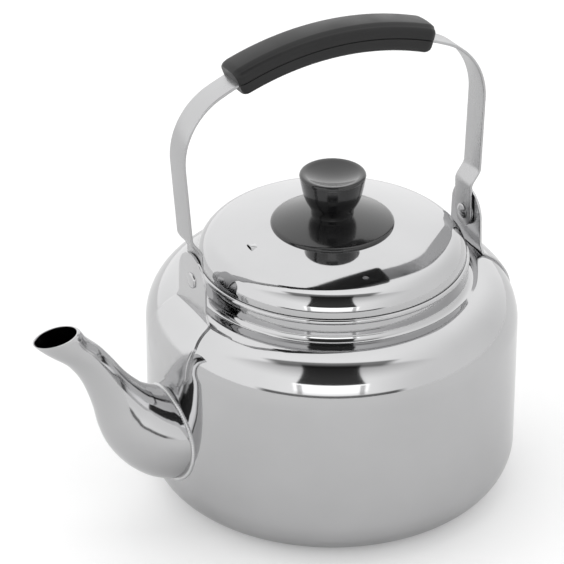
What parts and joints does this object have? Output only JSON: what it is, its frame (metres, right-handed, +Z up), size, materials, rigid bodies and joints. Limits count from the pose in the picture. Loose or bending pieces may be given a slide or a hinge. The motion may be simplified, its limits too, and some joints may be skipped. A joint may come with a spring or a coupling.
{
  "type": "stovetop kettle",
  "caption": "Round polished steel stovetop kettle with a curved spout, a swinging bail handle with a black grip and a domed lift-off lid that holds a whistle.",
  "frame": {"origin": "centre of the round base, on the surface that the kettle stands on", "axes": "+Z up along the body's axis, +X towards the spout, +Y completes a right-handed frame"},
  "size_m": [0.2891, 0.21, 0.2773],
  "materials": {
    "body_steel": "mirror-polished stainless steel",
    "spout_steel": "polished stainless steel",
    "weld": "dressed weld",
    "fitting_steel": "bright stainless steel",
    "strap_steel": "satin stainless steel",
    "lid_steel": "mirror-polished stainless steel",
    "grip_plastic": "satin black moulded plastic",
    "knob_plastic": "gloss black moulded plastic",
    "brass": "turned brass"
  },
  "bodies": {
    "kettle_body": {"body_shell": "body_steel", "spout": "spout_steel", "spout_weld": "weld", "front_ear": "fitting_steel", "rear_ear": "fitting_steel", "front_rivet": "fitting_steel", "rear_rivet": "fitting_steel", "front_washer": "fitting_steel", "rear_washer": "fitting_steel"},
    "bail": {"bail_strap": "strap_steel", "grip_top": "grip_plastic", "grip_bottom": "grip_plastic", "grip_screws": "fitting_steel", "grip_inserts": "brass"},
    "lid": {"lid_shell": "lid_steel", "lid_skirt": "lid_steel", "knob_flange": "knob_plastic", "knob": "knob_plastic", "knob_insert": "brass", "knob_screw": "fitting_steel", "knob_washer": "fitting_steel", "whistle_cup": "fitting_steel", "whistle_disc": "fitting_steel"}
  },
  "joints": [
    {"name": "bail_swing", "type": "hinge", "parent": "kettle_body", "child": "bail", "pos_m": [0, 0, 0.144], "axis": [1, 0, 0], "range_deg": [-102, 97]},
    {"name": "lid_lift", "type": "slide", "parent": "kettle_body", "child": "lid", "axis": [0, 0, 1], "range_m": [0, 0.05]}
  ]
}
